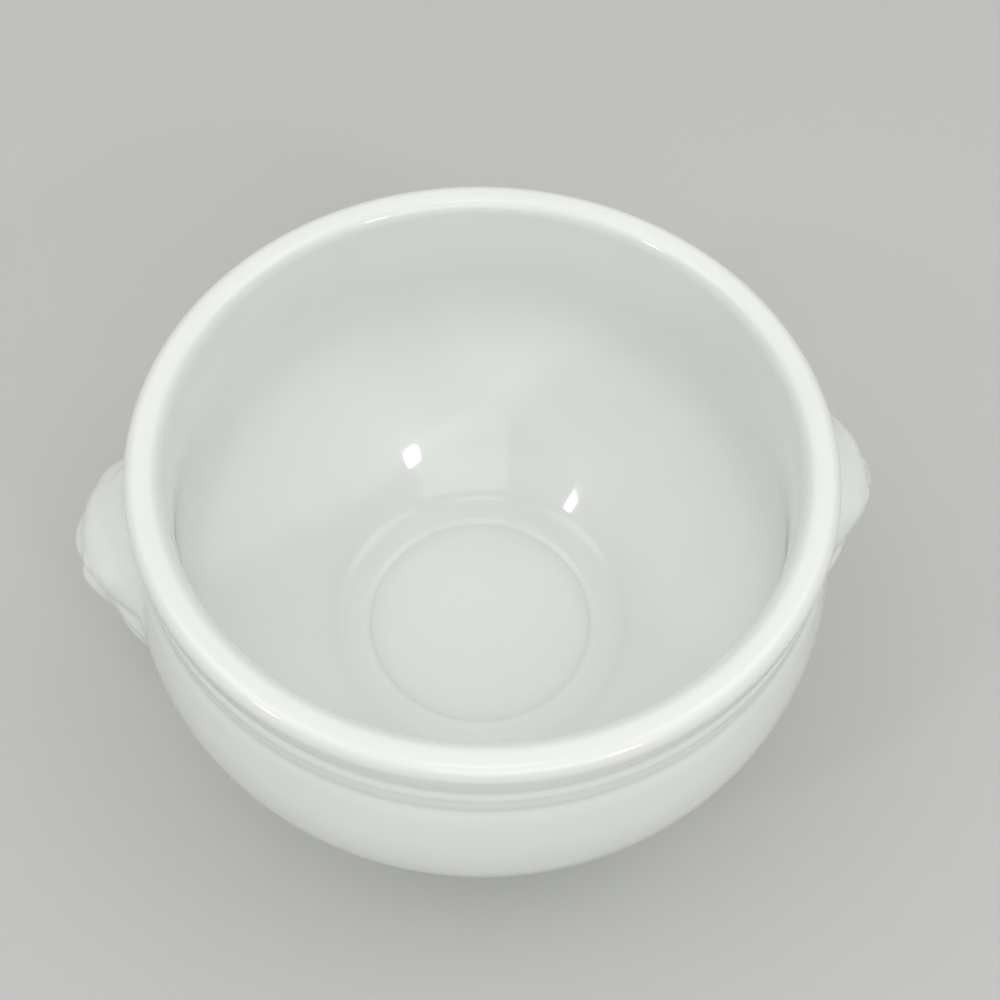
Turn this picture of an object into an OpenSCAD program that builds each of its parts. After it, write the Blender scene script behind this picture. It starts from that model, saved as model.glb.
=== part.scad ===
// Onion soup crock: a round porcelain bowl with a rolled rim, a full belly and a lion's mask
// on each side as a lug. Millimetres, +Z up. The origin is the centre of the foot on the table,
// and the two masks look out along +X and -X.

/* [Bowl] */
// Outside diameter of the rolled rim
rim_d = 120; // [110:1:140]
// Height from the table to the top of the rim
crock_h = 77; // [70:1:90]
// Outside diameter of the belly at its widest
belly_d = 128.2; // [122:0.1:150]
// Depth of the widest place below the top of the rim
belly_depth = 31.5; // [26:0.5:38]
// Curve of the outside round the widest place and below it
belly_low_r = 29; // [24:0.5:34]
// Degrees through which that curve runs before the wall straightens toward the foot
belly_turn = 32; // [20:1:40]
// Thickness of the wall at the widest place
wall_t = 6.4; // [4:0.1:8]
// Thickness of the floor
floor_t = 4.5; // [3:0.1:7]

/* [Rim and shoulder] */
// Height of the rim's roll, from its top to the groove under it
rim_h = 7.6; // [6:0.1:9]
// Width of the roll
rim_w = 6; // [5:0.1:8]
// Rounding of the roll toward the outside
rim_out_r = 2.4; // [1.5:0.1:3]
// Rounding of the roll toward the inside
rim_in_r = 2.1; // [1.5:0.1:3]
// Rounding of the roll's underside
rim_under_r = 2.8; // [2:0.1:4]
// Depth of the groove behind the rim's outside
groove_in = 1.3; // [0.8:0.1:2]
// Height of the plain band under the groove
band_h = 5.8; // [4:0.1:8]
// How far the band's lower edge stands out from the rim's outside
band_out = 0.1; // [0:0.1:0.8]
// Rounding of the band's upper edge
band_r = 1.5; // [0.8:0.1:2]

/* [Inside] */
// Diameter of the flat disc in the middle of the floor
well_d = 48; // [40:1:52]
// How deep the disc lies under the ring round it
well_step = 0.6; // [0.3:0.1:1]
// Diameter at which the wall meets the floor
cove_d = 60; // [56:1:64]
// Rounding between the wall and the floor
cove_r = 6; // [3:0.5:8]

/* [Foot] */
// Diameter of the foot where it stands
foot_d = 64; // [58:1:68]
// Height of the foot
foot_h = 4; // [3:0.1:6]
// Width of the foot's ring
foot_w = 5; // [4:0.1:7]
// How much the foot widens toward the bowl
foot_flare = 1; // [0:0.1:2]
// Rounding of the foot's lower edges
foot_r = 1.2; // [0.5:0.1:1.8]

/* [Lion mask] */
// Width of a mask with its mane
mask_w = 36; // [32:0.5:42]
// Height of a mask from the chin's beard to the crown
mask_h = 39; // [34:0.5:46]
// Depth of the mask's upper edge below the top of the rim
mask_top = 6.5; // [5:0.1:7]
// How far the nose stands out from the wall
nose_out = 9.8; // [8:0.1:13]
// Thickness of the mask's rim where it lies on the wall
mask_edge = 0.3; // [0.2:0.1:1]
// Depth of the cuts between the locks of the mane
lock_cut = 0.7; // [0.3:0.1:1.2]
// Locks of hair round the mask
lock_count = 15; // [11:1:21]

/* [Hidden] */
$fn = 180;

// Degrees between the points of a round stretch of an outline
arc_step = 4;
// Seam between a mask and the wall that it lies on
seam = 0.12;
// Rounding of the small edge round the well
well_r = 0.4;
// Pieces in a curve that follows a formula
curve_steps = 12;

rim_r = rim_d / 2;
belly_r = belly_d / 2;
inside_h = crock_h - foot_h - floor_t;
groove_r = rim_r - groove_in;
band_depth = rim_h + band_h;
band_face_r = rim_r + band_out;
inner_rim_r = rim_r - rim_w;
inner_belly_r = belly_r - wall_t;
// Centre that the outside and the inside share below the widest place
low_centre = [belly_r - belly_low_r, -belly_depth];
low_in_r = belly_low_r - wall_t;

// Points along an arc from angle a0 to angle a1
function arc(centre, r, a0, a1) =
    let (n = max(2, ceil(abs(a1 - a0) / arc_step)))
    [for (i = [0:n]) let (a = a0 + (a1 - a0) * i / n) centre + r * [cos(a), sin(a)]];

function unit(v) = v / norm(v);

// Points that round the corner b between a and c
function rounded(a, b, c, r) =
    let (
        u = unit(a - b),
        v = unit(c - b),
        half = acos(u * v) / 2,
        centre = b + unit(u + v) * r / sin(half),
        first = b + u * r / tan(half) - centre,
        last = b + v * r / tan(half) - centre,
        a0 = atan2(first.y, first.x),
        turn = atan2(first.x * last.y - first.y * last.x, first * last)
    )
    arc(centre, r, a0, a0 + turn);

function without_first(v) = [for (i = [1:len(v) - 1]) v[i]];

function reversed(v) = [for (i = [len(v) - 1:-1:0]) v[i]];

// Curve from the widest place down: an arc of radius r, then a flatter one that ends at a point
function low_curve(r, end) =
    let (
        out = [cos(belly_turn), -sin(belly_turn)],
        joint = low_centre + r * out,
        d = end - joint,
        flat_r = -(d * d) / (2 * (d * out)),
        centre = joint - flat_r * out,
        last = (end - centre) / flat_r
    )
    concat(
        arc(low_centre, r, 0, -belly_turn),
        without_first(arc(centre, flat_r, -belly_turn, atan2(last.y, last.x)))
    );

// Outlines are drawn with the radius across and the depth below the rim's top as a negative height

foot_joint = [foot_d / 2 + foot_flare, foot_h - crock_h];
low_outside = low_curve(belly_low_r, foot_joint);
// Outside from the band's lower edge to the widest place, where it stands upright
high_outside = [for (i = [0:curve_steps]) let (share = i / curve_steps)
    [
        band_face_r + (belly_r - band_face_r) * sin(90 * share),
        -band_depth - (belly_depth - band_depth) * share
    ]];

// Inside from the rim to the widest place, upright at both ends
high_inside = [for (i = [0:curve_steps]) let (share = i / curve_steps)
    [
        inner_rim_r + (inner_belly_r - inner_rim_r) * (1 - cos(180 * share)) / 2,
        -rim_h - (belly_depth - rim_h) * share
    ]];

// Outside of the bowl from the groove down to the foot
outside = concat(
    arc([band_face_r - band_r, -rim_h - band_r], band_r, 90, 0),
    high_outside,
    without_first(low_outside)
);

shelf_depth = inside_h - well_step;
cove_corner = [cove_d / 2, -shelf_depth];
low_wall = low_curve(low_in_r, cove_corner);
wall_end = len(low_wall) - 1;
well_edge = [well_d / 2, -shelf_depth];
well_corner = [well_d / 2, -inside_h];

// Inside of the bowl from the middle of the floor up to the widest place
low_inside = concat(
    [[0, -inside_h]],
    [well_corner],
    rounded(well_corner, well_edge, cove_corner, well_r),
    rounded(well_edge, cove_corner, low_wall[wall_end - 1], cove_r),
    reversed([for (i = [0:wall_end - 1]) low_wall[i]])
);

// Outside of the whole crock, for what lies on it: depth and radius, with the groove bridged
cover = concat(
    [[0, rim_r], [rim_h, rim_r], [rim_h + band_r, band_face_r]],
    [for (p = high_outside) [-p.y, p.x]],
    [for (p = without_first(low_outside)) [-p.y, p.x]]
);

function cover_r(depth) = lookup(depth, cover);

module revolve(outline) {
    translate([0, 0, crock_h]) rotate_extrude() polygon(outline);
}

// Belly, shoulder band, wall and floor
module bowl_wall() {
    color("#f1f2ee")
    revolve(concat(
        [[0, foot_h - crock_h]],
        low_inside,
        without_first(reversed(high_inside)),
        [[groove_r, -rim_h]],
        outside
    ));
}

// Rolled rim on top of the wall
module rim_roll() {
    under_turn = acos(1 - groove_in / rim_under_r);
    under_depth = rim_h - rim_under_r * sin(under_turn);
    color("#f6f6f3")
    revolve(concat(
        arc([rim_r - rim_out_r, -rim_out_r], rim_out_r, 90, 0),
        arc([rim_r - rim_under_r, -under_depth], rim_under_r, 0, -under_turn),
        [[inner_rim_r, -rim_h]],
        arc([inner_rim_r + rim_in_r, -rim_in_r], rim_in_r, 180, 90)
    ));
}

// Turned ring on which the crock stands
module foot_ring() {
    outer_low = [foot_d / 2, -crock_h];
    inner_low = [foot_d / 2 - foot_w, -crock_h];
    inner_top = [foot_d / 2 - foot_w - foot_flare, foot_h - crock_h];
    color("#e9e6de")
    revolve(concat(
        [foot_joint],
        [inner_top],
        rounded(inner_top, inner_low, outer_low, foot_r),
        rounded(inner_low, outer_low, foot_joint, foot_r)
    ));
}

// The lion's mask. Its forms are tables of shares: across and up from the middle of the mask,
// as shares of its half width and half height, half axes the same, and height as a share of
// nose_out. What lies to a side is made on both sides.

half_w = mask_w / 2;
half_h = mask_h / 2;
mask_depth = mask_top + half_h;
// How square the mask's outline is: 2 is an ellipse
outline_power = 2.1;
// How much narrower the outline gets toward the crown
crown_taper_share = 0.15;
// How widely the large forms melt into each other
blend_share = 0.07;
// How square the large forms are: 1 is a paraboloid
form_power = 1.2;
ring_count = 21;
back_ring_count = 6;
turn_count = 96;

// Large forms of the head
crown_share = [0, 0.40, 1.00, 0.60, 0.87];
brow_plane_share = [0, 0.16, 0.58, 0.43, 0.91];
bridge_share = [0, 0.13, 0.25, 0.42, 0.97];
cheek_shares = [0.40, -0.02, 0.30, 0.45, 0.65];
muzzle_share = [0, -0.29, 0.56, 0.42, 0.95];
jaw_shares = [0.27, -0.41, 0.31, 0.33, 0.71];
chin_share = [0, -0.52, 0.34, 0.36, 0.78];
// Small forms laid on them, raised or sunk
brow_shares = [0.27, 0.32, 0.20, 0.08, 0.05];
eye_socket_shares = [0.30, 0.14, 0.15, 0.11, -0.12];
eye_shares = [0.30, 0.13, 0.09, 0.06, 0.08];
nose_share = [0, 0.00, 0.18, 0.08, 0.05];
nostril_shares = [0.11, -0.05, 0.06, 0.05, -0.04];
whisker_shares = [0.18, -0.20, 0.15, 0.13, 0.04];
mouth_shares = [0.16, -0.38, 0.18, 0.06, -0.06];
lip_share = [0, -0.21, 0.05, 0.14, -0.05];
tuft_share = [0, -0.58, 0.13, 0.16, 0.04];
ear_shares = [0.58, 0.47, 0.17, 0.16, 0.11];
ear_hollow_shares = [0.58, 0.45, 0.09, 0.09, -0.10];
furrow_share = [0, 0.45, 0.06, 0.18, -0.03];
// Mane: height at the face as a share of nose_out, and how squarely it falls toward the edge
mane_share = 0.46;
mane_power = 4;
// How roundly the head comes down to the mask's edge: less is rounder
edge_power = 0.6;
// Where the cuts between the locks begin and where they are at their deepest
lock_from_share = 0.55;
lock_full_share = 0.85;
// How much of the cuts is left on the crown, and between which heights they fade
crown_lock_share = 0.25;
fade_from_share = -0.1;
fade_full_share = 0.45;
// How far the locks lean round the mask, in degrees from the face to the edge
lock_sweep = 26;

// How far a place is from a form's middle: 1 on the ellipse with its half axes
function form_distance(y, z, form) =
    let (side = form[0] == 0 ? y : abs(y))
    pow((side / half_w - form[0]) / form[2], 2) + pow((z / half_h - form[1]) / form[3], 2);

function large_form(y, z, form) =
    form[4] * nose_out * (1 - pow(form_distance(y, z, form), form_power));

function small_form(y, z, form) = form[4] * nose_out * exp(-2 * form_distance(y, z, form));

function total(v) = v * [for (x = v) 1];

// The highest of some heights, with a soft passage from one to the next
function melted(heights) =
    let (soft = blend_share * nose_out)
    soft * ln(total([for (h = heights) exp(h / soft)]));

function smooth_step(a, b, x) = let (t = min(1, max(0, (x - a) / (b - a)))) t * t * (3 - 2 * t);

// Height of the mask over the wall: s runs from 0 in its middle to 1 at its outline
function mask_height(y, z, s) =
    let (
        fall = 1 - pow(s, mane_power),
        from_beard = atan2(abs(y), -z),
        lock = (1 + cos(lock_count * (from_beard + lock_sweep * s))) / 2,
        faded = (1 - crown_lock_share) * smooth_step(fade_from_share, fade_full_share, z / half_h),
        depth = smooth_step(lock_from_share, lock_full_share, s) * sqrt(fall) * (1 - faded),
        head = melted([
            mane_share * nose_out * fall,
            large_form(y, z, crown_share),
            large_form(y, z, brow_plane_share),
            large_form(y, z, bridge_share),
            large_form(y, z, cheek_shares),
            large_form(y, z, muzzle_share),
            large_form(y, z, jaw_shares),
            large_form(y, z, chin_share)
        ])
    )
    max(0, head * pow(fall, edge_power) - lock_cut * lock * depth
        + small_form(y, z, brow_shares)
        + small_form(y, z, eye_socket_shares)
        + small_form(y, z, eye_shares)
        + small_form(y, z, nose_share)
        + small_form(y, z, nostril_shares)
        + small_form(y, z, whisker_shares)
        + small_form(y, z, mouth_shares)
        + small_form(y, z, lip_share)
        + small_form(y, z, tuft_share)
        + small_form(y, z, ear_shares)
        + small_form(y, z, ear_hollow_shares)
        + small_form(y, z, furrow_share));

// Place on the mask's outline at an angle, for s = 1, and inside it for less
function mask_place(a, s) =
    let (
        c = abs(cos(a)),
        d = abs(sin(a)),
        r = s / pow(pow(c, outline_power) + pow(d, outline_power), 1 / outline_power),
        taper = 1 - crown_taper_share * r * sin(a)
    )
    [r * half_w * taper * cos(a), r * half_h * sin(a)];

function on_wall(place, out) =
    let (r = cover_r(mask_depth - place.y) + seam)
    [sqrt(r * r - place.x * place.x) + out, place.x, crock_h - mask_depth + place.y];

// A mask that looks out along +X, one ring of points inside the other, front and back
module lion_mask() {
    front = [for (i = [0:ring_count - 1], j = [0:turn_count - 1])
        let (s = 1 - i / ring_count, p = mask_place(360 * j / turn_count, s))
        on_wall(p, mask_edge + mask_height(p.x, p.y, s))];
    back = [for (i = [0:back_ring_count - 1], j = [0:turn_count - 1])
        on_wall(mask_place(360 * j / turn_count, 1 - i / back_ring_count), 0)];
    nose = on_wall([0, 0], mask_edge + mask_height(0, 0, 0));
    heart = on_wall([0, 0], 0);
    first_back = len(front);
    nose_at = first_back + len(back);
    next = function (j) (j + 1) % turn_count;
    front_faces = [for (i = [0:ring_count - 2], j = [0:turn_count - 1])
        let (a = i * turn_count + j, b = i * turn_count + next(j), c = a + turn_count, d = b + turn_count)
        each [[a, c, b], [b, c, d]]];
    back_faces = [for (i = [0:back_ring_count - 2], j = [0:turn_count - 1])
        let (
            a = first_back + i * turn_count + j,
            b = first_back + i * turn_count + next(j),
            c = a + turn_count,
            d = b + turn_count
        )
        each [[a, b, c], [b, d, c]]];
    last_front = (ring_count - 1) * turn_count;
    last_back = first_back + (back_ring_count - 1) * turn_count;
    caps = [for (j = [0:turn_count - 1]) each [
        [last_front + j, nose_at, last_front + next(j)],
        [last_back + j, last_back + next(j), nose_at + 1],
        [j, next(j), first_back + j],
        [next(j), first_back + next(j), first_back + j]
    ]];
    polyhedron(concat(front, back, [nose, heart]), concat(front_faces, back_faces, caps), convexity = 6);
}

module lion_mask_left() {
    color("#efefe6") rotate([0, 0, 180]) lion_mask();
}

module lion_mask_right() {
    color("#efefe6") lion_mask();
}

bowl_wall();
rim_roll();
foot_ring();
lion_mask_left();
lion_mask_right();
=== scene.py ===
import math

import bmesh
import bpy
from bpy.props import FloatProperty, FloatVectorProperty, IntProperty, PointerProperty
from mathutils import Matrix, Vector


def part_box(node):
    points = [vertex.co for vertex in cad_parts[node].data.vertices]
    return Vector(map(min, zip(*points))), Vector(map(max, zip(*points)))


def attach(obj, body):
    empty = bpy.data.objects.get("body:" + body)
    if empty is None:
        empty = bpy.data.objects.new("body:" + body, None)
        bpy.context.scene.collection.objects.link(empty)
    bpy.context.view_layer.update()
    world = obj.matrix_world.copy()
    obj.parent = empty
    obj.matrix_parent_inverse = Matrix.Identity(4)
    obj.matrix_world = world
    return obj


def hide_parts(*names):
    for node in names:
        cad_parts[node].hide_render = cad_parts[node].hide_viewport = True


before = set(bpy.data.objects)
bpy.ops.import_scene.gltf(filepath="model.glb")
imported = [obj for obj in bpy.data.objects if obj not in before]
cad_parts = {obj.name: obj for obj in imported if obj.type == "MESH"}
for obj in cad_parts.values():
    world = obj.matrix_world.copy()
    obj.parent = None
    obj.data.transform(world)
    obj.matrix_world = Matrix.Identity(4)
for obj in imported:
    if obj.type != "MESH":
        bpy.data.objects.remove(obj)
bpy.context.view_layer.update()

bl_info = {
    "name": "Onion Soup Crock",
    "version": (1, 0, 0),
    "blender": (4, 5, 0),
    "location": "View3D > Sidebar > Crock",
    "description": "Builds a glazed porcelain soup crock with a lion's mask on each side",
    "category": "Add Mesh",
}

MM = 0.001
BODY = "root"
UP = Vector((0, 0, 1))

# Steps of a full turn, and how fine the rounded stretches of a profile are drawn: the largest
# angle and length of a step in an arc, and the steps of the curves that follow a formula
TURN_STEPS = 192
ARC_STEP = math.radians(9)
ARC_RUN = 1.2 * MM
CURVE_STEPS = 20
BAND_STEPS = 56
# How far from its ends a long straight run gets a point, so that it shades flat
HOLD = 1 * MM
# Points closer than this are merged
MERGE = 0.002 * MM
# Where the bowl's underside gets a ring, and how far the foot laps under it, inside their joint
UNDERSIDE_RING = 3 * MM
FOOT_LAP = 2 * MM
# Above the table, how high the foot is bare of glaze
BARE_HEIGHT = 0.25 * MM
# From this angle between two faces on, in degrees, an edge is sharp: turned pieces and relief
SHARP_TURNED, SHARP_RELIEF = 35, 60


def linear(hex_colour):
    """Turns an sRGB hex colour, written as RRGGBB, into linear red, green and blue."""
    parts = [int(hex_colour[i : i + 2], 16) / 255 for i in (0, 2, 4)]
    return tuple(c / 12.92 if c <= 0.04045 else ((c + 0.055) / 1.055) ** 2.4 for c in parts)


def size_of(name, description, value):
    """A length, given in millimetres and kept in metres."""
    return FloatProperty(
        name=name,
        description=description,
        default=value * MM,
        min=0,
        subtype="DISTANCE",
        unit="LENGTH",
    )


def colour_of(name, description, hex_colour):
    """A colour, given as sRGB hex and kept as linear values."""
    return FloatVectorProperty(
        name=name,
        description=description,
        default=linear(hex_colour),
        size=3,
        min=0,
        max=1,
        subtype="COLOR",
    )


def power_of(name, description, watts):
    """The power of a lamp in watts."""
    return FloatProperty(name=name, description=description, default=watts, min=0, unit="POWER")


# Highest corners of the CAD pieces that give the bowl its driving sizes
RIM_HIGH, WALL_HIGH, FOOT_HIGH = (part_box(n)[1] for n in ("rim_roll", "bowl_wall", "foot_ring"))


class CrockSizes(bpy.types.PropertyGroup):
    """Lengths of the bowl, its rim and its foot."""

    rim_radius: size_of("Rim radius", "Outside radius of the rolled rim", RIM_HIGH.y / MM)
    height: size_of("Height", "Height from the table to the rim's top", RIM_HIGH.z / MM)
    belly_radius: size_of("Belly radius", "Radius of the belly at its widest", WALL_HIGH.y / MM)
    belly_depth: size_of("Belly depth", "Depth of the widest place below the rim's top", 31.5)
    belly_round: size_of("Belly curve", "Curve of the outside below the widest place", 29)
    wall: size_of("Wall", "Thickness of the wall at the widest place", 7.8)
    floor: size_of("Floor", "Thickness of the floor", 4.5)
    rim_height: size_of("Rim height", "Height of the rim's roll down to its groove", 7.6)
    rim_width: size_of("Rim width", "Width of the rim's roll", 6.3)
    rim_outer_round: size_of("Rim outer rounding", "Rounding of the roll toward the outside", 2.4)
    rim_inner_round: size_of("Rim inner rounding", "Rounding of the roll toward the inside", 2.7)
    rim_under_round: size_of("Rim under rounding", "Rounding of the roll's underside", 2.8)
    groove: size_of("Groove", "Depth of the groove behind the rim's outside", 1.3)
    groove_fill: size_of("Groove glaze", "Rounding that the glaze gives the groove", 0.8)
    band_height: size_of("Band height", "Height of the plain band under the groove", 5.8)
    band_out: size_of("Band projection", "How far the band's upper edge passes the rim", 0.1)
    band_widening: size_of("Band widening", "How much the band widens toward the belly", 0.5)
    band_round: size_of("Band rounding", "Rounding of the band's upper edge", 2)
    band_line: size_of("Band line", "Depth of the soft line at the band's foot", 0.32)
    band_line_width: size_of("Band line width", "Width of the soft line at the band's foot", 3)
    well_radius: size_of("Well radius", "Radius of the flat disc in the floor", 24)
    well_step: size_of("Well step", "How deep the disc lies under the ring round it", 0.6)
    well_slope: size_of("Well slope", "How wide the soft step round the disc is", 1.8)
    cove_radius: size_of("Cove radius", "Radius at which the wall meets the floor", 30)
    cove_round: size_of("Cove rounding", "Rounding between the wall and the floor", 6)
    foot_radius: size_of("Foot radius", "Radius of the foot where it stands", 32)
    foot_height: size_of("Foot height", "Height of the foot's ring", FOOT_HIGH.z / MM)
    foot_width: size_of("Foot width", "Width of the foot's ring", 5)
    foot_flare: size_of("Foot flare", "How much the foot widens toward the bowl", 1)
    foot_round: size_of("Foot rounding", "Rounding of the foot's lower edges", 1.2)
    foot_fill: size_of("Foot glaze", "Rounding between the foot and the belly", 2.2)
    belly_turn: FloatProperty(
        name="Belly turn",
        description="Angle of the belly's curve before the wall straightens",
        default=math.radians(32),
        subtype="ANGLE",
        unit="ROTATION",
    )


class MaskSizes(bpy.types.PropertyGroup):
    """Lengths and shares of a lion's mask."""

    width: size_of("Width", "Width of a mask with its mane and the slip round it", 37.3)
    height: size_of("Height", "Height of a mask from the beard to the crown", 39.7)
    top: size_of("Top", "Depth of the mask's upper edge below the rim's top", 6.5)
    nose_out: size_of("Nose", "How far the nose stands out from the wall", 10.05)
    edge: size_of("Edge", "Thickness of the slip where it ends on the wall", 0.03)
    slip: size_of("Slip", "How widely the slip and the glaze round the mask's edge", 1.0)
    back: size_of("Back", "How deep the mask's back lies in the wall", 0.6)
    lock_cut: size_of("Lock depth", "Depth of the cuts between the locks of the mane", 0.9)
    lock_count: IntProperty(name="Locks", description="Locks of hair round the mask", default=15)
    cells: IntProperty(name="Cells", description="Cells across a mask's mesh", default=150)
    softening: IntProperty(
        name="Softening", description="How often the glaze evens the mask's relief", default=6
    )


class PorcelainLook(bpy.types.PropertyGroup):
    """Colours and surface of the porcelain."""

    body: colour_of("Body", "White porcelain under the clear glaze", "F1F4F0")
    pooled: colour_of("Pooled glaze", "Where the glaze lies thick in a hollow", "E2E8E2")
    thin: colour_of("Thin glaze", "Where the glaze has run off an edge", "F4F3EC")
    biscuit: colour_of("Biscuit", "Bare porcelain where the foot stands", "D9D3C5")
    roughness: FloatProperty(
        name="Roughness", description="Roughness under the glaze", default=0.32, min=0, max=1
    )
    glaze_roughness: FloatProperty(
        name="Glaze roughness", description="Roughness of the glaze", default=0.07, min=0, max=1
    )


class StageLook(bpy.types.PropertyGroup):
    """The plain floor and the lamps."""

    floor: colour_of("Floor", "Colour of the plain floor", "C9CAC8")
    key_watts: power_of("Key lamp", "Power of the main lamp", 0.8)
    fill_watts: power_of("Fill lamp", "Power of the second lamp", 0.6)
    right_watts: power_of("Right panel", "Power of the high panel on the right", 0.7)
    left_watts: power_of("Left panel", "Power of the high panel on the left", 0.7)
    front_watts: power_of("Front panel", "Power of the panel in front", 1.3)
    top_watts: power_of("Top panel", "Power of the panel overhead", 0.25)
    sky: FloatProperty(
        name="Sky", description="Strength of the light all round", default=0.91, min=0
    )


class Outline:
    """A profile drawn with bmesh operators in the XZ plane, radius along X and height along Z."""

    def __init__(self, radius, height):
        self.bm = bmesh.new()
        self.tip = self.bm.verts.new((radius, 0, height))

    def line(self, radius, height):
        """Draws a straight run to a place."""
        start, end = self.tip.co.copy(), Vector((radius, 0, height))
        way = end - start
        places = [end]
        if way.length > 3 * HOLD:
            held = way.normalized() * HOLD
            places = [start + held, end - held, end]
        for place in places:
            made = bmesh.ops.extrude_vert_indiv(self.bm, verts=[self.tip])
            self.tip = made["verts"][0]
            self.tip.co = place
        return self

    def arc(self, centre, end):
        """Turns the tip about a centre, the short way, until it lies in the direction of end."""
        here = Vector((self.tip.co.x - centre[0], self.tip.co.z - centre[1]))
        there = Vector((end[0] - centre[0], end[1] - centre[1]))
        turn = math.atan2(here.x * there.y - here.y * there.x, here.dot(there))
        fine = min(ARC_STEP, ARC_RUN / here.length)
        steps = max(3, math.ceil(abs(turn) / fine))
        made = bmesh.ops.spin(
            self.bm,
            geom=[self.tip],
            cent=(centre[0], 0, centre[1]),
            axis=(0, -1, 0),
            angle=turn,
            steps=steps,
            use_merge=False,
        )
        self.tip = next(g for g in made["geom_last"] if isinstance(g, bmesh.types.BMVert))
        return self

    def curve(self, places):
        """Runs through places that follow a formula, closer together than a line's held points."""
        for radius, height in places:
            made = bmesh.ops.extrude_vert_indiv(self.bm, verts=[self.tip])
            self.tip = made["verts"][0]
            self.tip.co = (radius, 0, height)
        return self

    def close(self):
        """Joins the tip to the first point."""
        self.bm.verts.ensure_lookup_table()
        self.bm.edges.new((self.tip, self.bm.verts[0]))
        return self

    def turned(self):
        """Spins the profile round the axis and returns the closed skin."""
        bmesh.ops.spin(
            self.bm,
            geom=self.bm.verts[:] + self.bm.edges[:],
            cent=(0, 0, 0),
            axis=UP,
            angle=math.tau,
            steps=TURN_STEPS,
            use_merge=True,
        )
        bmesh.ops.remove_doubles(self.bm, verts=self.bm.verts[:], dist=MERGE)
        bmesh.ops.recalc_face_normals(self.bm, faces=self.bm.faces[:])
        return self.bm


def meet_two(first, first_r, second, second_r, side):
    """Where two circles meet: side is 1 for the left of the way between them and -1 for the
    right."""
    a, b = Vector(first), Vector(second)
    way = b - a
    along = (first_r**2 - second_r**2 + way.length_squared) / (2 * way.length)
    off = math.sqrt(max(0, first_r**2 - along**2))
    way.normalize()
    return a + along * way + side * off * Vector((-way.y, way.x))


def toward(centre, through, radius):
    """The place on a circle in the direction of another place."""
    c = Vector(centre)
    return c + (Vector(through) - c).normalized() * radius


def fillet(corner, before, after, radius):
    """Centre, first and last point of the rounding of a corner between two straight runs."""
    c = Vector(corner)
    u, v = (Vector(before) - c).normalized(), (Vector(after) - c).normalized()
    half = u.angle(v) / 2
    centre = c + (u + v).normalized() * radius / math.sin(half)
    run = radius / math.tan(half)
    return centre, c + u * run, c + v * run


def eased(x):
    """Rises smoothly from 0 to 1 as x does."""
    t = min(1, max(0, x))
    return t * t * (3 - 2 * t)


class Form:
    """The bowl's section, worked out from its sizes: places are (radius, height)."""

    def __init__(self, s):
        self.top = s.height
        self.inner_rim = s.rim_radius - s.rim_width
        self.band_face = s.rim_radius + s.band_out
        self.rim_foot = self.top - s.rim_height
        self.band_foot = self.rim_foot - s.band_height
        self.widest = self.top - s.belly_depth
        # Belly below the widest place: the outside and the inside share a centre
        self.low_centre = (s.belly_radius - s.belly_round, self.widest)
        self.low_out = (math.cos(s.belly_turn), -math.sin(s.belly_turn))
        self.foot_joint = (s.foot_radius + s.foot_flare, s.foot_height)
        # Rim's underside and the glaze that rounds its groove
        turn = math.acos(1 - s.groove / s.rim_under_round)
        self.under_centre = (
            s.rim_radius - s.rim_under_round,
            self.rim_foot + s.rim_under_round * math.sin(turn),
        )
        self.band_centre = (self.band_face - s.band_round, self.rim_foot - s.band_round)
        self.groove_centre = meet_two(
            self.under_centre,
            s.rim_under_round + s.groove_fill,
            self.band_centre,
            s.band_round + s.groove_fill,
            1,
        )

    def shoulder(self, s, height):
        """Outside from the band's upper edge to the widest place: the band, a soft line at its
        foot, and the belly swelling out until it stands upright."""
        foot = self.band_face + s.band_widening
        if height > self.band_foot:
            share = (height - self.band_foot) / (self.band_centre[1] - self.band_foot)
            radius = foot - s.band_widening * eased(share)
        else:
            share = (self.band_foot - height) / (self.band_foot - self.widest)
            radius = foot + (s.belly_radius - foot) * math.sin(math.pi / 2 * share)
        away = (height - self.band_foot) / (s.band_line_width / 2)
        return radius - s.band_line * math.exp(-(away**2))

    def neck(self, s, share):
        """Inside between the rim's foot and the widest place, upright at both ends."""
        out = (1 - math.cos(math.pi * share)) / 2
        return (
            self.inner_rim + (s.belly_radius - s.wall - self.inner_rim) * out,
            self.rim_foot + (self.widest - self.rim_foot) * share,
        )

    def flat_arc(self, radius, end):
        """Joint and centre of the flatter curve below the belly that ends at a place."""
        joint = Vector(self.low_centre) + radius * Vector(self.low_out)
        way = Vector(end) - joint
        flat_r = -way.length_squared / (2 * way.dot(Vector(self.low_out)))
        return joint, joint - flat_r * Vector(self.low_out), flat_r

    def outside(self, s, height):
        """Radius of the outside at a height, with the groove bridged."""
        if height >= self.rim_foot:
            return s.rim_radius
        if height >= self.widest:
            return self.shoulder(s, height)
        joint, centre, flat_r = self.flat_arc(s.belly_round, self.foot_joint)
        c, r = (self.low_centre, s.belly_round) if height >= joint.y else (centre, flat_r)
        return c[0] + math.sqrt(max(0, r**2 - (height - c[1]) ** 2))


# A hollow or an edge with this radius counts in full
FULL_RADIUS = 1.5 * MM
# How often the marks are evened out, between points no further apart than this
EVENINGS, EVENING_REACH = 4, 1.5 * MM
# How near a point lies to a joint between two pieces to be on it
ON_JOINT = 0.01 * MM


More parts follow.
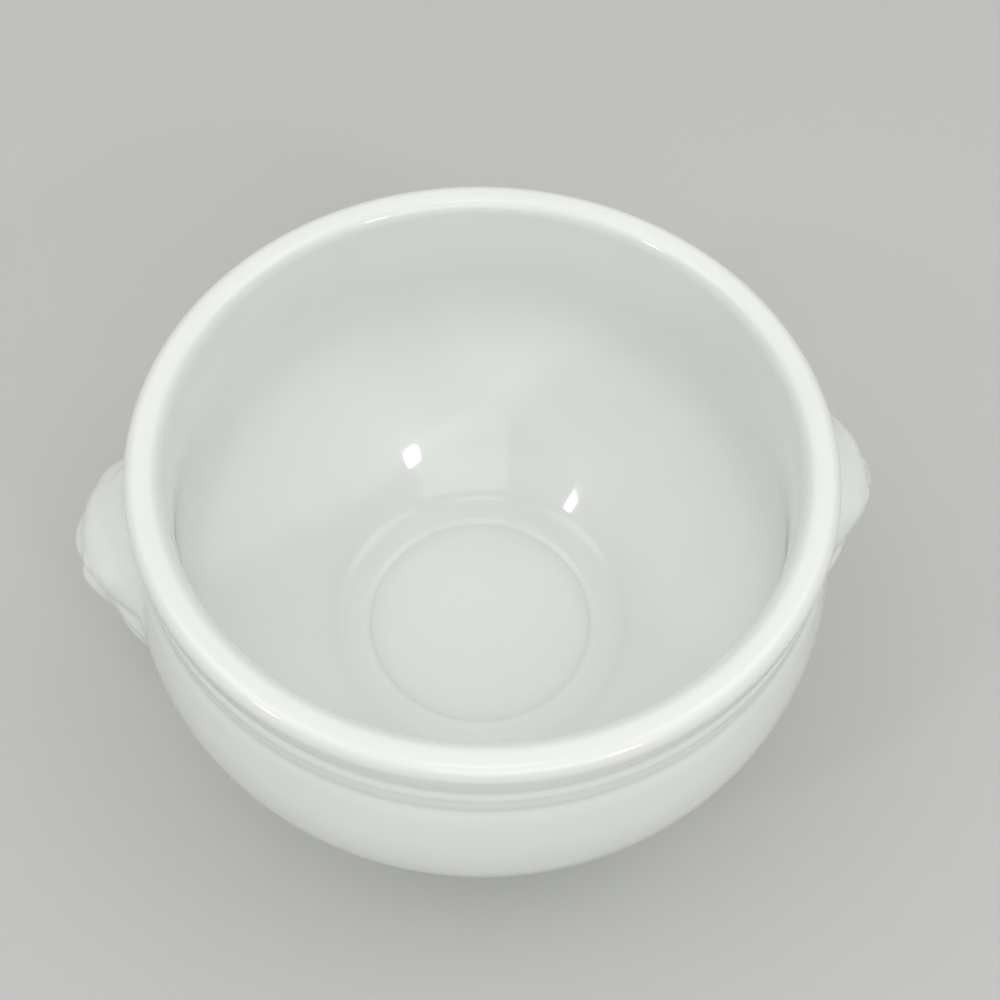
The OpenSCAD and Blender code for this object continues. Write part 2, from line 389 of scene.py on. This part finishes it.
def mark_glaze(bm, joint=None):
    """Keeps on each point how hollow (over 0.5) or how edged (under 0.5) the surface is there.
    At the height of a joint with the next piece it is neither."""
    layer = bm.verts.layers.float.new("glaze_depth")
    bm.normal_update()
    hollow = {}
    for v in bm.verts:
        bends = []
        for e in v.link_edges:
            way = e.other_vert(v).co - v.co
            bends.append(2 * way.dot(v.normal) / way.length_squared)
        share = FULL_RADIUS * sum(bends) / len(bends)
        on_joint = joint is not None and abs(v.co.z - joint) < ON_JOINT
        hollow[v] = 0 if on_joint else max(-1, min(1, share))
    for _ in range(EVENINGS):
        evened = {}
        for v, h in hollow.items():
            near = [e.other_vert(v) for e in v.link_edges if e.calc_length() < EVENING_REACH]
            evened[v] = (h + sum(hollow[n] for n in near)) / (1 + len(near))
        hollow = evened
    for v, h in hollow.items():
        v[layer] = 0.5 + 0.5 * h


def finish_piece(bm, name, materials, node, sharp=SHARP_TURNED):
    """Makes the object, gives it its finish and puts it in the place of its CAD node."""
    mesh = bpy.data.meshes.new(name)
    bm.to_mesh(mesh)
    bm.free()
    mesh.shade_smooth()
    mesh.set_sharp_from_angle(angle=math.radians(sharp))
    piece = bpy.data.objects.new(name, mesh)
    bpy.context.scene.collection.objects.link(piece)
    for material in materials:
        mesh.materials.append(material)
    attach(piece, BODY)
    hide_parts(node)


def add_node(tree, kind, links=(), **settings):
    """Adds a node, sets its inputs and properties, and links (input, output) pairs."""
    node = tree.nodes.new(kind)
    for key, value in settings.items():
        if key in node.bl_rna.properties:
            setattr(node, key, value)
        else:
            node.inputs[key.replace("_", " ")].default_value = value
    for socket, output in links:
        tree.links.new(output, node.inputs[socket])
    return node


def new_material(name):
    material = bpy.data.materials.new(name)
    material.use_nodes = True
    material.node_tree.nodes.clear()
    return material


def rgba(colour):
    return (*colour, 1.0)


# Glaze marks between which a hollow or an edge fades in, from not at all to in full
HOLLOW_MARKS = (0.52, 0.80)
EDGE_MARKS = (0.42, 0.10)
# Clouding of the body: the size of a cloud, the noise between which it fades in, its strength
CLOUD_SIZE, CLOUD_NOISE, CLOUD_STRENGTH = 30 * MM, (0.35, 0.75), 0.22
# Waves of the glaze, a few hundredths of a millimetre high
WAVE_LENGTH, WAVE_HEIGHT = 16 * MM, 0.10 * MM
# Pores in the glaze, drawn so that they only just show
PORE_SIZE, PORE_DEPTH = 1.1 * MM, 0.0012 * MM
# Grit left by the kiln shelf, drawn coarse enough to show, and how much darker its grains are
GRIT_SIZE, GRIT_HEIGHT, GRIT_NOISE, GRIT_SHADE = 0.8 * MM, 0.03 * MM, (0.3, 0.55), 0.82


def glazed_porcelain(look):
    """Hard-fired porcelain under a clear glaze: a soft white body seen through a glassy coat
    that lies a little wavy, greys in the hollows and thins to warm white on the edges."""
    name = "clear_glazed_porcelain"
    if name in bpy.data.materials:
        return bpy.data.materials[name]
    material = new_material(name)
    tree = material.node_tree
    place = add_node(tree, "ShaderNodeTexCoord").outputs["Object"]
    marks = add_node(tree, "ShaderNodeAttribute", attribute_name="glaze_depth").outputs["Fac"]
    clouds = add_node(
        tree, "ShaderNodeTexNoise", [("Vector", place)], Scale=1 / CLOUD_SIZE, Detail=2.0
    ).outputs["Fac"]
    # The glaze's grey shows in the clouds and the hollows, and its warm white on the edges
    colour = None
    for value, span, strength, over in (
        (clouds, CLOUD_NOISE, CLOUD_STRENGTH, look.pooled),
        (marks, HOLLOW_MARKS, 1.0, look.pooled),
        (marks, EDGE_MARKS, 1.0, look.thin),
    ):
        share = add_node(
            tree,
            "ShaderNodeMapRange",
            [("Value", value)],
            From_Min=span[0],
            From_Max=span[1],
            To_Max=strength,
        ).outputs["Result"]
        mix = add_node(tree, "ShaderNodeMix", data_type="RGBA")
        under, above = (i for i in mix.inputs if i.type == "RGBA")
        under.default_value = rgba(look.body)
        above.default_value = rgba(over)
        tree.links.new(share, mix.inputs["Factor"])
        if colour:
            tree.links.new(colour, under)
        colour = next(o for o in mix.outputs if o.type == "RGBA")
    waves = add_node(
        tree, "ShaderNodeTexNoise", [("Vector", place)], Scale=1 / WAVE_LENGTH, Detail=1.0
    ).outputs["Fac"]
    waved = add_node(
        tree, "ShaderNodeBump", [("Height", waves)], Strength=1.0, Distance=WAVE_HEIGHT
    ).outputs["Normal"]
    pores = add_node(
        tree, "ShaderNodeTexNoise", [("Vector", place)], Scale=1 / PORE_SIZE, Detail=0.0
    ).outputs["Fac"]
    skin = add_node(
        tree,
        "ShaderNodeBump",
        [("Height", pores), ("Normal", waved)],
        Strength=1.0,
        Distance=PORE_DEPTH,
    ).outputs["Normal"]
    # The glaze is the coat: glass of IOR 1.52 over a body that shines only a little itself
    shader = add_node(
        tree,
        "ShaderNodeBsdfPrincipled",
        [("Base Color", colour), ("Normal", skin), ("Coat Normal", skin)],
        Roughness=look.roughness,
        IOR=1.5,
        Specular_IOR_Level=0.3,
        Coat_Weight=1.0,
        Coat_Roughness=look.glaze_roughness,
        Coat_IOR=1.52,
    )
    add_node(tree, "ShaderNodeOutputMaterial", [("Surface", shader.outputs["BSDF"])])
    return material


def bare_porcelain(look):
    """Unglazed fired porcelain, ground flat where the ring stands: matt, fine, a little grey."""
    material = new_material("bare_biscuit_porcelain")
    tree = material.node_tree
    place = add_node(tree, "ShaderNodeTexCoord").outputs["Object"]
    grit = add_node(
        tree, "ShaderNodeTexNoise", [("Vector", place)], Scale=1 / GRIT_SIZE, Detail=3.0
    ).outputs["Fac"]
    ramp = add_node(tree, "ShaderNodeValToRGB", [("Fac", grit)])
    grain, clear = ramp.color_ramp.elements
    grain.position, clear.position = GRIT_NOISE
    grain.color = rgba([c * GRIT_SHADE for c in look.biscuit])
    clear.color = rgba(look.biscuit)
    bump = add_node(tree, "ShaderNodeBump", [("Height", grit)], Strength=0.6, Distance=GRIT_HEIGHT)
    shader = add_node(
        tree,
        "ShaderNodeBsdfPrincipled",
        [("Base Color", ramp.outputs["Color"]), ("Normal", bump.outputs["Normal"])],
        Roughness=0.78,
        IOR=1.5,
    )
    add_node(tree, "ShaderNodeOutputMaterial", [("Surface", shader.outputs["BSDF"])])
    return material


def paper_sweep(look):
    """Matt paper, the same all over, so that nothing but the bowl draws the eye."""
    material = new_material("matt_paper_sweep")
    tree = material.node_tree
    shader = add_node(
        tree,
        "ShaderNodeBsdfPrincipled",
        Base_Color=rgba(look.floor),
        Roughness=0.85,
        Specular_IOR_Level=0.2,
    )
    add_node(tree, "ShaderNodeOutputMaterial", [("Surface", shader.outputs["BSDF"])])
    return material


class CROCK_OT_bowl(bpy.types.Operator):
    """Adds the bowl: belly, shoulder band, wall and floor in one turned skin"""

    bl_idname = "crock.bowl"
    bl_label = "Add Bowl"

    def execute(self, context):
        s = context.scene.crock_sizes
        f = Form(s)
        floor = s.foot_height + s.floor
        shelf = floor + s.well_step
        well_edge = s.well_radius + s.well_slope / 2
        shares = [i / CURVE_STEPS for i in range(1, CURVE_STEPS + 1)]
        # Joints of the curves inside and outside, and the cove where the wall meets the floor
        wall_foot = (s.cove_radius, shelf)
        in_joint, in_centre, in_flat = f.flat_arc(s.belly_round - s.wall, wall_foot)
        out_joint, out_centre, _ = f.flat_arc(s.belly_round, f.foot_joint)
        wall_way = Vector((in_centre.y - shelf, s.cove_radius - in_centre.x)).normalized()
        up_wall = Vector(wall_foot) + wall_way
        cove_c, cove_a, cove_b = fillet(wall_foot, (0, shelf), up_wall, s.cove_round)
        cove_b = toward(in_centre, cove_b, in_flat)
        # Underside and outside, up to the groove
        outline = Outline(0, s.foot_height)
        outline.line(f.foot_joint[0] - UNDERSIDE_RING, s.foot_height).line(*f.foot_joint)
        outline.arc(out_centre, out_joint)
        outline.arc(f.low_centre, (s.belly_radius, f.widest))
        rise = f.band_centre[1] - f.widest
        heights = [f.widest + rise * i / BAND_STEPS for i in range(1, BAND_STEPS)]
        outline.curve([(f.shoulder(s, height), height) for height in heights])
        outline.curve([(f.band_face, f.band_centre[1])])
        outline.arc(f.band_centre, toward(f.band_centre, f.groove_centre, s.band_round))
        under_touch = toward(f.under_centre, f.groove_centre, s.rim_under_round)
        outline.arc(f.groove_centre, under_touch)
        # Under the rim and down the inside to the disc in the floor
        outline.line(s.rim_radius - s.groove - HOLD, f.rim_foot)
        outline.line(f.inner_rim, f.rim_foot)
        outline.curve([f.neck(s, share) for share in shares])
        outline.arc(f.low_centre, in_joint)
        outline.arc(in_centre, cove_b)
        outline.arc(cove_c, cove_a)
        outline.line(well_edge, shelf)
        drops = [s.well_step * (1 - math.cos(math.pi * share)) / 2 for share in shares]
        ways_in = [s.well_slope * share for share in shares]
        outline.curve([(well_edge - way, shelf - drop) for way, drop in zip(ways_in, drops)])
        for share in (0.75, 0.5, 0.25, 0):
            outline.line(s.well_radius * share, floor)
        bm = outline.turned()
        mark_glaze(bm, f.rim_foot)
        porcelain = glazed_porcelain(context.scene.crock_look)
        finish_piece(bm, "bowl", [porcelain], "bowl_wall")
        return {"FINISHED"}


class CROCK_OT_rim(bpy.types.Operator):
    """Adds the thick rolled rim that lies on the wall"""

    bl_idname = "crock.rim"
    bl_label = "Add Rim"

    def execute(self, context):
        s = context.scene.crock_sizes
        f = Form(s)
        outer_c = (s.rim_radius - s.rim_outer_round, f.top - s.rim_outer_round)
        inner_c = (f.inner_rim + s.rim_inner_round, f.top - s.rim_inner_round)
        outline = Outline(f.inner_rim, f.rim_foot)
        outline.line(f.inner_rim, (f.rim_foot + inner_c[1]) / 2).line(f.inner_rim, inner_c[1])
        outline.arc(inner_c, (inner_c[0], f.top))
        outline.line((inner_c[0] + outer_c[0]) / 2, f.top).line(outer_c[0], f.top)
        outline.arc(outer_c, (s.rim_radius, outer_c[1]))
        outline.line(s.rim_radius, f.under_centre[1])
        outline.arc(f.under_centre, (s.rim_radius - s.groove, f.rim_foot))
        outline.close()
        bm = outline.turned()
        mark_glaze(bm, f.rim_foot)
        porcelain = glazed_porcelain(context.scene.crock_look)
        finish_piece(bm, "rolled_rim", [porcelain], "rim_roll")
        return {"FINISHED"}


class CROCK_OT_foot(bpy.types.Operator):
    """Adds the turned foot ring, bare of glaze where it stands"""

    bl_idname = "crock.foot"
    bl_label = "Add Foot"

    def execute(self, context):
        s = context.scene.crock_sizes
        f = Form(s)
        _, out_centre, out_flat = f.flat_arc(s.belly_round, f.foot_joint)
        inner_top = (s.foot_radius - s.foot_width - s.foot_flare, s.foot_height)
        inner_low = (s.foot_radius - s.foot_width, 0)
        outer_low = (s.foot_radius, 0)
        # The glaze rounds the corner between the foot's side and the belly
        side = Vector(f.foot_joint) - Vector(outer_low)
        side_out = Vector((side.y, -side.x)).normalized()
        start = Vector(outer_low) + side_out * s.foot_fill
        way = side.normalized()
        from_belly = start - out_centre
        reach = from_belly.dot(way)
        gap = from_belly.length_squared - (out_flat + s.foot_fill) ** 2
        fill_c = start - way * (reach + math.sqrt(reach**2 - gap))
        fill_low = fill_c - side_out * s.foot_fill
        fill_high = toward(fill_c, out_centre, s.foot_fill)
        outer_c, outer_a, outer_b = fillet(outer_low, inner_low, fill_low, s.foot_round)
        inner_c, inner_a, inner_b = fillet(inner_low, inner_top, outer_low, s.foot_round)
        outline = Outline(*inner_top)
        outline.line(*inner_a).arc(inner_c, inner_b)
        outline.line(*outer_a).arc(outer_c, outer_b)
        outline.line(*fill_low).arc(fill_c, fill_high)
        outline.line(f.foot_joint[0] - FOOT_LAP, s.foot_height)
        outline.close()
        bm = outline.turned()
        mark_glaze(bm)
        for face in bm.faces:
            if max(v.co.z for v in face.verts) < BARE_HEIGHT:
                face.material_index = 1
        look = context.scene.crock_look
        finish_piece(bm, "foot", [glazed_porcelain(look), bare_porcelain(look)], "foot_ring")
        return {"FINISHED"}


# Forms of the lion's head. Each has its place across and up from the mask's middle, its half
# axes, as shares of the mask's half width and half height, and its height as a share of how far
# the nose stands out. What lies to a side is made on both sides.
LARGE_FORMS = (
    ("crown", 0, 0.37, 1.00, 0.50, 0.87),
    ("brow plane", 0, 0.15, 0.50, 0.41, 0.95),
    ("bridge", 0, 0.15, 0.34, 0.44, 0.90),
    ("cheek", 0.41, -0.02, 0.32, 0.43, 0.49),
    ("muzzle", 0, -0.27, 0.59, 0.53, 0.95),
    ("jaw", 0.21, -0.44, 0.29, 0.38, 0.70),
    ("chin", 0, -0.52, 0.34, 0.36, 0.78),
)
SMALL_FORMS = (
    ("brow", 0.20, 0.27, 0.14, 0.08, 0.05),
    ("outer brow", 0.38, 0.35, 0.15, 0.08, 0.05),
    ("eye socket", 0.30, 0.15, 0.15, 0.10, -0.18),
    ("eye corner", 0.18, 0.07, 0.07, 0.08, -0.09),
    ("eye", 0.29, 0.13, 0.08, 0.05, 0.12),
    ("nose", 0, -0.01, 0.20, 0.08, 0.06),
    ("nostril", 0.11, -0.07, 0.06, 0.04, -0.08),
    ("whisker pad", 0.18, -0.20, 0.16, 0.13, 0.05),
    ("mouth", 0.10, -0.35, 0.11, 0.05, -0.09),
    ("mouth corner", 0.26, -0.41, 0.11, 0.06, -0.10),
    ("lip", 0, -0.23, 0.04, 0.12, -0.08),
    ("lower lip", 0, -0.46, 0.16, 0.06, 0.03),
    ("tuft", 0, -0.64, 0.12, 0.13, 0.05),
    ("ear", 0.60, 0.42, 0.14, 0.13, 0.15),
    ("ear hollow", 0.59, 0.41, 0.09, 0.08, -0.08),
    ("furrow", 0, 0.40, 0.06, 0.17, -0.03),
)
# How square the mask's outline is, 2 being an ellipse, and how much narrower its crown gets
OUTLINE_POWER = 2.1
CROWN_TAPER = 0.19
# How widely the large forms melt into each other, and how square they are
BLEND = 0.09
FORM_POWER = 1.2
# Height of the mane at the face, and how squarely it and the head fall toward the edge
MANE_HEIGHT = 0.39
MANE_POWER = 6
EDGE_POWER = 0.6
# Where from the middle the cuts between the locks begin and are deepest, and how they fade
# toward the crown, where the glaze has filled them
LOCK_FROM, LOCK_FULL = 0.55, 0.85
CROWN_LOCKS, FADE_FROM, FADE_FULL = 0.15, -0.1, 0.45
# How far the locks lean round the mask between its middle and its edge
LOCK_SWEEP = math.radians(26)


def distance_to(form, across, up):
    """How far a place is from a form's middle, squared: 1 on the ellipse with its half axes."""
    _, middle_across, middle_up, half_across, half_up, _ = form
    side = abs(across) if middle_across else across
    return ((side - middle_across) / half_across) ** 2 + ((up - middle_up) / half_up) ** 2


def mask_relief(m, across, up, share):
    """Height of the mask over the wall; across and up are shares, share is 1 on the outline."""
    fall = max(0, 1 - share**MANE_POWER)
    from_beard = math.atan2(abs(across) * m.width, -up * m.height)
    lock = (1 + math.cos(m.lock_count * (from_beard + LOCK_SWEEP * share))) / 2
    depth = eased((share - LOCK_FROM) / (LOCK_FULL - LOCK_FROM)) * math.sqrt(fall)
    depth *= 1 - (1 - CROWN_LOCKS) * eased((up - FADE_FROM) / (FADE_FULL - FADE_FROM))
    heights = [MANE_HEIGHT * fall]
    heights += [g[-1] * (1 - distance_to(g, across, up) ** FORM_POWER) for g in LARGE_FORMS]
    head = BLEND * math.log(sum(math.exp(h / BLEND) for h in heights)) * fall**EDGE_POWER
    small = sum(g[-1] * math.exp(-2 * distance_to(g, across, up)) for g in SMALL_FORMS)
    return m.nose_out * (head + small) - m.lock_cut * lock * depth


def settled(m, height):
    """Lets a height run out softly onto the wall, as the slip and the glaze do round a mask."""
    raised = max(0, height)
    return raised * (1 - math.exp(-raised / m.slip))


def mask_place(x, y):
    """Draws a place of a square grid onto the mask's outline: its shares across and up, and how
    far it is from the middle, 1 being on the outline."""
    u, w = x * math.sqrt(1 - y * y / 2), y * math.sqrt(1 - x * x / 2)
    share = math.hypot(u, w)
    c, d = (abs(u) / share, abs(w) / share) if share else (1, 0)
    reach = 1 / (c**OUTLINE_POWER + d**OUTLINE_POWER) ** (1 / OUTLINE_POWER)
    return u * reach * (1 - CROWN_TAPER * w * reach), w * reach, share


def lion_mask(s, m):
    """A mask that looks out along +X, as one closed skin: its front over the wall and its back
    in it."""
    f = Form(s)
    middle = s.height - m.top - m.height / 2
    bm = bmesh.new()
    bmesh.ops.create_grid(bm, x_segments=m.cells, y_segments=m.cells, size=1)
    bmesh.ops.reverse_faces(bm, faces=bm.faces[:])
    back = bm.verts.layers.float_vector.new("back")
    for v in bm.verts:
        across, up, share = mask_place(v.co.x, v.co.y)
        side, height = across * m.width / 2, middle + up * m.height / 2
        wall = f.outside(s, height)
        out = m.edge + settled(m, mask_relief(m, across, up, share))
        v.co = (math.sqrt(wall**2 - side**2) + out, side, height)
        v[back] = (math.sqrt((wall - m.back) ** 2 - side**2), side, height)
    inner = [v for v in bm.verts if not v.is_boundary]
    for _ in range(m.softening):
        bmesh.ops.smooth_vert(
            bm, verts=inner, factor=0.5, use_axis_x=True, use_axis_y=True, use_axis_z=True
        )
    made = bmesh.ops.extrude_face_region(bm, geom=bm.faces[:], use_keep_orig=True)
    for v in made["geom"]:
        if isinstance(v, bmesh.types.BMVert):
            v.co = v[back]
    bm.verts.layers.float_vector.remove(back)
    bmesh.ops.recalc_face_normals(bm, faces=bm.faces[:])
    return bm


class CROCK_OT_masks(bpy.types.Operator):
    """Adds the two lions' masks, the lugs by which the crock is lifted"""

    bl_idname = "crock.masks"
    bl_label = "Add Lion Masks"

    def execute(self, context):
        s = context.scene.crock_sizes
        m = context.scene.crock_mask
        for name, node, turn in (
            ("right_lion_mask", "lion_mask_right", 0),
            ("left_lion_mask", "lion_mask_left", math.pi),
        ):
            bm = lion_mask(s, m)
            bmesh.ops.rotate(bm, verts=bm.verts[:], matrix=Matrix.Rotation(turn, 3, UP))
            mark_glaze(bm)
            porcelain = glazed_porcelain(context.scene.crock_look)
            finish_piece(bm, name, [porcelain], node, SHARP_RELIEF)
        return {"FINISHED"}


# Floor, in metres: the radius of its middle and of its flat part, the radius through which it
# turns up there, and the height to which it rises
FLOOR_MIDDLE, FLOOR_FLAT, FLOOR_TURN, FLOOR_HEIGHT = 0.3, 1.3, 0.5, 1.4
# Lamps, which all look at the middle of the bowl: name, property that holds the power, place,
# and width and height, in metres
LAMP_AIM = Vector((0, 0, 40 * MM))
LAMPS = (
    ("key_softbox", "key_watts", (0.45, -0.78, 0.64), (0.11, 0.06)),
    ("fill_softbox", "fill_watts", (-0.78, -0.41, 0.70), (0.08, 0.14)),
    ("right_panel", "right_watts", (0.55, 0, 0.99), (0.5, 0.5)),
    ("left_panel", "left_watts", (-0.55, 0, 0.99), (0.5, 0.5)),
    ("top_panel", "top_watts", (0, -0.14, 1.1), (0.25, 0.25)),
    ("front_panel", "front_watts", (0.08, -0.87, 0.72), (0.8, 0.5)),
)
# The camera stands where the photograph was taken: its place, how far it is turned from +Y
# toward +X, how far it looks down and how far it leans
CAMERA_PLACE = (-15.387 * MM, -116.875 * MM, 241.716 * MM)
CAMERA_HEADING, CAMERA_DOWN, CAMERA_LEAN = (math.radians(a) for a in (8.977, 57.567, 2.715))
CAMERA_LENS, CAMERA_SENSOR, CAMERA_NEAR = 43.456, 36, 0.01


class CROCK_OT_stage(bpy.types.Operator):
    """Sets the plain floor, the soft lamps and the camera"""

    bl_idname = "crock.stage"
    bl_label = "Set Stage"

    def execute(self, context):
        look = context.scene.crock_stage
        self.add_floor(context.scene, look)
        self.add_camera(context.scene)
        for name, power, place, size in LAMPS:
            self.add_lamp(context.scene, name, getattr(look, power), place, size)
        world = bpy.data.worlds.new("plain_sky")
        world.use_nodes = True
        sky = world.node_tree.nodes["Background"]
        sky.inputs["Color"].default_value = (1, 1, 1, 1)
        sky.inputs["Strength"].default_value = look.sky
        context.scene.world = world
        context.scene.view_settings.view_transform = "Standard"
        return {"FINISHED"}

    def add_floor(self, scene, look):
        """A round floor that turns up into a wall all round, out of the way of the lamps."""
        edge = FLOOR_FLAT + FLOOR_TURN
        outline = Outline(0, 0)
        outline.line(FLOOR_MIDDLE, 0).line(FLOOR_FLAT, 0)
        outline.arc((FLOOR_FLAT, FLOOR_TURN), (edge, FLOOR_TURN))
        outline.line(edge, FLOOR_HEIGHT)
        bm = outline.turned()
        bm.faces.ensure_lookup_table()
        if bm.faces[0].normal.z < 0:
            bmesh.ops.reverse_faces(bm, faces=bm.faces[:])
        mesh = bpy.data.meshes.new("studio_floor")
        bm.to_mesh(mesh)
        bm.free()
        mesh.shade_smooth()
        mesh.materials.append(paper_sweep(look))
        floor = bpy.data.objects.new("studio_floor", mesh)
        scene.collection.objects.link(floor)

    def add_camera(self, scene):
        """Looks down into the bowl from above its near side."""
        camera = bpy.data.cameras.new("camera")
        camera.sensor_width = CAMERA_SENSOR
        camera.lens = CAMERA_LENS
        camera.clip_start = CAMERA_NEAR
        eye = bpy.data.objects.new("camera", camera)
        scene.collection.objects.link(eye)
        eye.matrix_world = (
            Matrix.Translation(CAMERA_PLACE)
            @ Matrix.Rotation(-CAMERA_HEADING, 4, "Z")
            @ Matrix.Rotation(math.pi / 2 - CAMERA_DOWN, 4, "X")
            @ Matrix.Rotation(CAMERA_LEAN, 4, "Z")
        )
        scene.camera = eye

    def add_lamp(self, scene, name, watts, place, size):
        lamp = bpy.data.lights.new(name, "AREA")
        lamp.shape = "RECTANGLE"
        lamp.size, lamp.size_y = size
        lamp.energy = watts
        holder = bpy.data.objects.new(name, lamp)
        holder.location = place
        holder.rotation_euler = (LAMP_AIM - Vector(place)).to_track_quat("-Z", "Y").to_euler()
        scene.collection.objects.link(holder)


class CROCK_PT_panel(bpy.types.Panel):
    """Lists the crock's sizes, colours and steps"""

    bl_label = "Onion Soup Crock"
    bl_idname = "CROCK_PT_panel"
    bl_space_type = "VIEW_3D"
    bl_region_type = "UI"
    bl_category = "Crock"

    def draw(self, context):
        for step in STEPS:
            self.layout.operator(step.bl_idname)
        for group_name in GROUPS:
            group = getattr(context.scene, group_name)
            box = self.layout.box()
            box.label(text=type(group).__doc__)
            for key in group.__annotations__:
                box.prop(group, key)


GROUPS = {
    "crock_sizes": CrockSizes,
    "crock_mask": MaskSizes,
    "crock_look": PorcelainLook,
    "crock_stage": StageLook,
}
STEPS = (CROCK_OT_bowl, CROCK_OT_rim, CROCK_OT_foot, CROCK_OT_masks, CROCK_OT_stage)


def register():
    for c in (*GROUPS.values(), *STEPS, CROCK_PT_panel):
        bpy.utils.register_class(c)
    for name, group in GROUPS.items():
        setattr(bpy.types.Scene, name, PointerProperty(type=group))


def unregister():
    for name in GROUPS:
        delattr(bpy.types.Scene, name)
    for c in (CROCK_PT_panel, *reversed(STEPS), *reversed(GROUPS.values())):
        bpy.utils.unregister_class(c)


def main():
    register()
    bpy.ops.crock.bowl()
    bpy.ops.crock.rim()
    bpy.ops.crock.foot()
    bpy.ops.crock.masks()
    bpy.ops.crock.stage()


if __name__ == "__main__":
    main()
